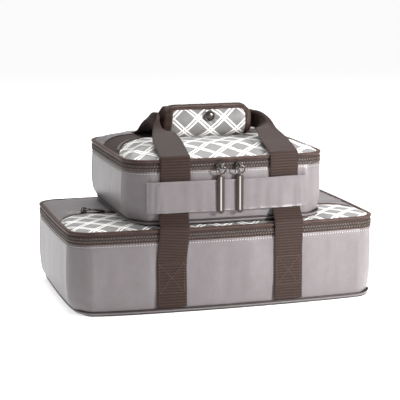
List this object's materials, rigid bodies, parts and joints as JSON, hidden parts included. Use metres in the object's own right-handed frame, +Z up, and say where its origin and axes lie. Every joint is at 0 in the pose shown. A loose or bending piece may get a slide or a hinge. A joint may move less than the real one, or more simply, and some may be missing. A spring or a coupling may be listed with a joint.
{
  "type": "casserole carrier",
  "caption": "Stacked pair of insulated zip-lidded casserole carriers, an oblong one below a smaller one, held by webbing straps that meet in a snapped, padded handle wrap.",
  "frame": {"origin": "on the floor under the middle of the lower carrier's width, below the handle's line", "axes": "+X right along the front, +Y towards the back, +Z up"},
  "size_m": [0.4149, 0.2583, 0.2453],
  "materials": {
    "grey_cloth": "satin woven polyester",
    "lattice_cloth": "woven polyester with a printed lattice of white double lines",
    "brown_webbing": "ribbed webbing and zip tape",
    "brown_binding": "folded grosgrain binding",
    "zip_coil": "nylon coil",
    "insulation": "closed-cell foam",
    "lining": "wipe-clean film",
    "board": "stiff plastic board",
    "chrome": "polished plated zinc",
    "gunmetal": "dark plated metal"
  },
  "bodies": {
    "carriers": {"lower_base_panel": "grey_cloth", "lower_base_board": "board", "lower_base_piping": "brown_binding", "lower_wall_cloth": "grey_cloth", "lower_insulation": "insulation", "lower_lining": "lining", "lower_zip_tape_below": "brown_webbing", "lower_zip_coil": "zip_coil", "lower_zip_tape_above": "brown_webbing", "lower_lid_binding": "brown_binding", "lower_lid_insulation": "insulation", "lower_lid_lining": "lining", "lower_lid_rear_panel": "grey_cloth", "lower_lid_pocket_panel": "lattice_cloth", "lower_pocket_zip": "brown_webbing", "upper_base_panel": "grey_cloth", "upper_base_board": "board", "upper_base_piping": "brown_binding", "upper_wall_cloth": "grey_cloth", "upper_insulation": "insulation", "upper_lining": "lining", "upper_zip_tape_below": "brown_webbing", "upper_zip_coil_below": "zip_coil", "upper_hinge_strip": "brown_binding", "front_strap_sleeve": "grey_cloth", "rear_strap_sleeve": "grey_cloth", "front_left_riser": "brown_webbing", "front_right_riser": "brown_webbing", "rear_left_riser": "brown_webbing", "rear_right_riser": "brown_webbing"},
    "upper_lid": {"upper_zip_coil_above": "zip_coil", "upper_zip_tape_above": "brown_webbing", "upper_lid_binding": "brown_binding", "upper_lid_insulation": "insulation", "upper_lid_lining": "lining", "upper_lid_rear_panel": "grey_cloth", "upper_lid_pocket_panel": "lattice_cloth", "upper_pocket_zip": "brown_webbing"},
    "front_loop": {"front_loop_webbing": "brown_webbing"},
    "rear_loop": {"rear_loop_webbing": "brown_webbing", "wrap_back_cover": "lattice_cloth", "wrap_back_pad": "insulation", "wrap_underlap": "brown_binding", "snap_stud": "gunmetal"},
    "wrap_flap": {"wrap_flap_cover": "lattice_cloth", "wrap_flap_pad": "insulation", "wrap_flap_binding": "brown_binding", "snap_cap": "gunmetal"},
    "upper_left_slider": {"upper_left_slider": "gunmetal"},
    "upper_left_pull": {"upper_left_pull": "chrome"},
    "upper_right_slider": {"upper_right_slider": "gunmetal"},
    "upper_right_pull": {"upper_right_pull": "chrome"},
    "lower_front_slider": {"lower_front_slider": "gunmetal"},
    "lower_front_pull": {"lower_front_pull": "chrome"},
    "lower_rear_slider": {"lower_rear_slider": "gunmetal"},
    "lower_rear_pull": {"lower_rear_pull": "chrome"},
    "lower_pocket_slider": {"lower_pocket_slider": "gunmetal"},
    "lower_pocket_pull": {"lower_pocket_pull": "chrome"},
    "upper_pocket_slider": {"upper_pocket_slider": "gunmetal"},
    "upper_pocket_pull": {"upper_pocket_pull": "chrome"}
  },
  "joints": [
    {"name": "upper_lid_hinge", "type": "hinge", "parent": "carriers", "child": "upper_lid", "pos_m": [0.0027, 0.1212, 0.1915], "axis": [-1, 0, 0], "range_deg": [0, 105]},
    {"name": "front_loop_swing", "type": "hinge", "parent": "carriers", "child": "front_loop", "pos_m": [0.0027, -0.1183, 0.18715], "axis": [1, 0, 0], "range_deg": [0, 232], "deforming": ["front_loop_webbing"]},
    {"name": "rear_loop_swing", "type": "hinge", "parent": "carriers", "child": "rear_loop", "pos_m": [0.0027, 0.1267, 0.18715], "axis": [-1, 0, 0], "range_deg": [0, 232], "deforming": ["rear_loop_webbing"]},
    {"name": "wrap_flap_open", "type": "hinge", "parent": "rear_loop", "child": "wrap_flap", "pos_m": [0.0055, 0.0005, 0.2028], "axis": [1, 0, 0], "range_deg": [0, 127]},
    {"name": "upper_left_zip_slide", "type": "slide", "parent": "carriers", "child": "upper_left_slider", "axis": [-1, 0, 0], "range_m": [0, 0.03]},
    {"name": "upper_left_pull_swing", "type": "hinge", "parent": "upper_left_slider", "child": "upper_left_pull", "pos_m": [-0.0113, -0.12308, 0.1813], "axis": [-1, 0, 0], "range_deg": [0, 150]},
    {"name": "upper_right_zip_slide", "type": "slide", "parent": "carriers", "child": "upper_right_slider", "axis": [1, 0, 0], "range_m": [0, 0.03]},
    {"name": "upper_right_pull_swing", "type": "hinge", "parent": "upper_right_slider", "child": "upper_right_pull", "pos_m": [0.0134, -0.12311, 0.1813], "axis": [-1, 0, 0], "range_deg": [0, 150]},
    {"name": "lower_front_zip_slide", "type": "slide", "parent": "carriers", "child": "lower_front_slider", "axis": [0, -1, 0], "range_m": [0, 0.06]},
    {"name": "lower_front_pull_swing", "type": "hinge", "parent": "lower_front_slider", "child": "lower_front_pull", "pos_m": [0.20861, -0.012, 0.0965], "axis": [0, -1, 0], "range_deg": [0, 150]},
    {"name": "lower_rear_zip_slide", "type": "slide", "parent": "carriers", "child": "lower_rear_slider", "axis": [0, 1, 0], "range_m": [0, 0.06]},
    {"name": "lower_rear_pull_swing", "type": "hinge", "parent": "lower_rear_slider", "child": "lower_rear_pull", "pos_m": [0.20864, 0.012, 0.0965], "axis": [0, -1, 0], "range_deg": [0, 150]},
    {"name": "lower_pocket_zip_slide", "type": "slide", "parent": "carriers", "child": "lower_pocket_slider", "axis": [-1, 0, 0], "range_m": [0, 0.012]},
    {"name": "lower_pocket_pull_swing", "type": "hinge", "parent": "lower_pocket_slider", "child": "lower_pocket_pull", "pos_m": [-0.161, -0.0015, 0.11435], "axis": [0, -1, 0], "range_deg": [0, 150]},
    {"name": "upper_pocket_zip_slide", "type": "slide", "parent": "upper_lid", "child": "upper_pocket_slider", "axis": [-1, 0, 0], "range_m": [0, 0.055]},
    {"name": "upper_pocket_pull_swing", "type": "hinge", "parent": "upper_pocket_slider", "child": "upper_pocket_pull", "pos_m": [0.028, 0.031, 0.20645], "axis": [0, -1, 0], "range_deg": [0, 150]}
  ],
  "couplings": [
    {"joint": "front_loop_swing", "follows": "upper_lid_hinge", "ratio": 2.2},
    {"joint": "rear_loop_swing", "follows": "upper_lid_hinge", "ratio": 2.2},
    {"joint": "wrap_flap_open", "follows": "upper_lid_hinge", "ratio": 1.2}
  ]
}
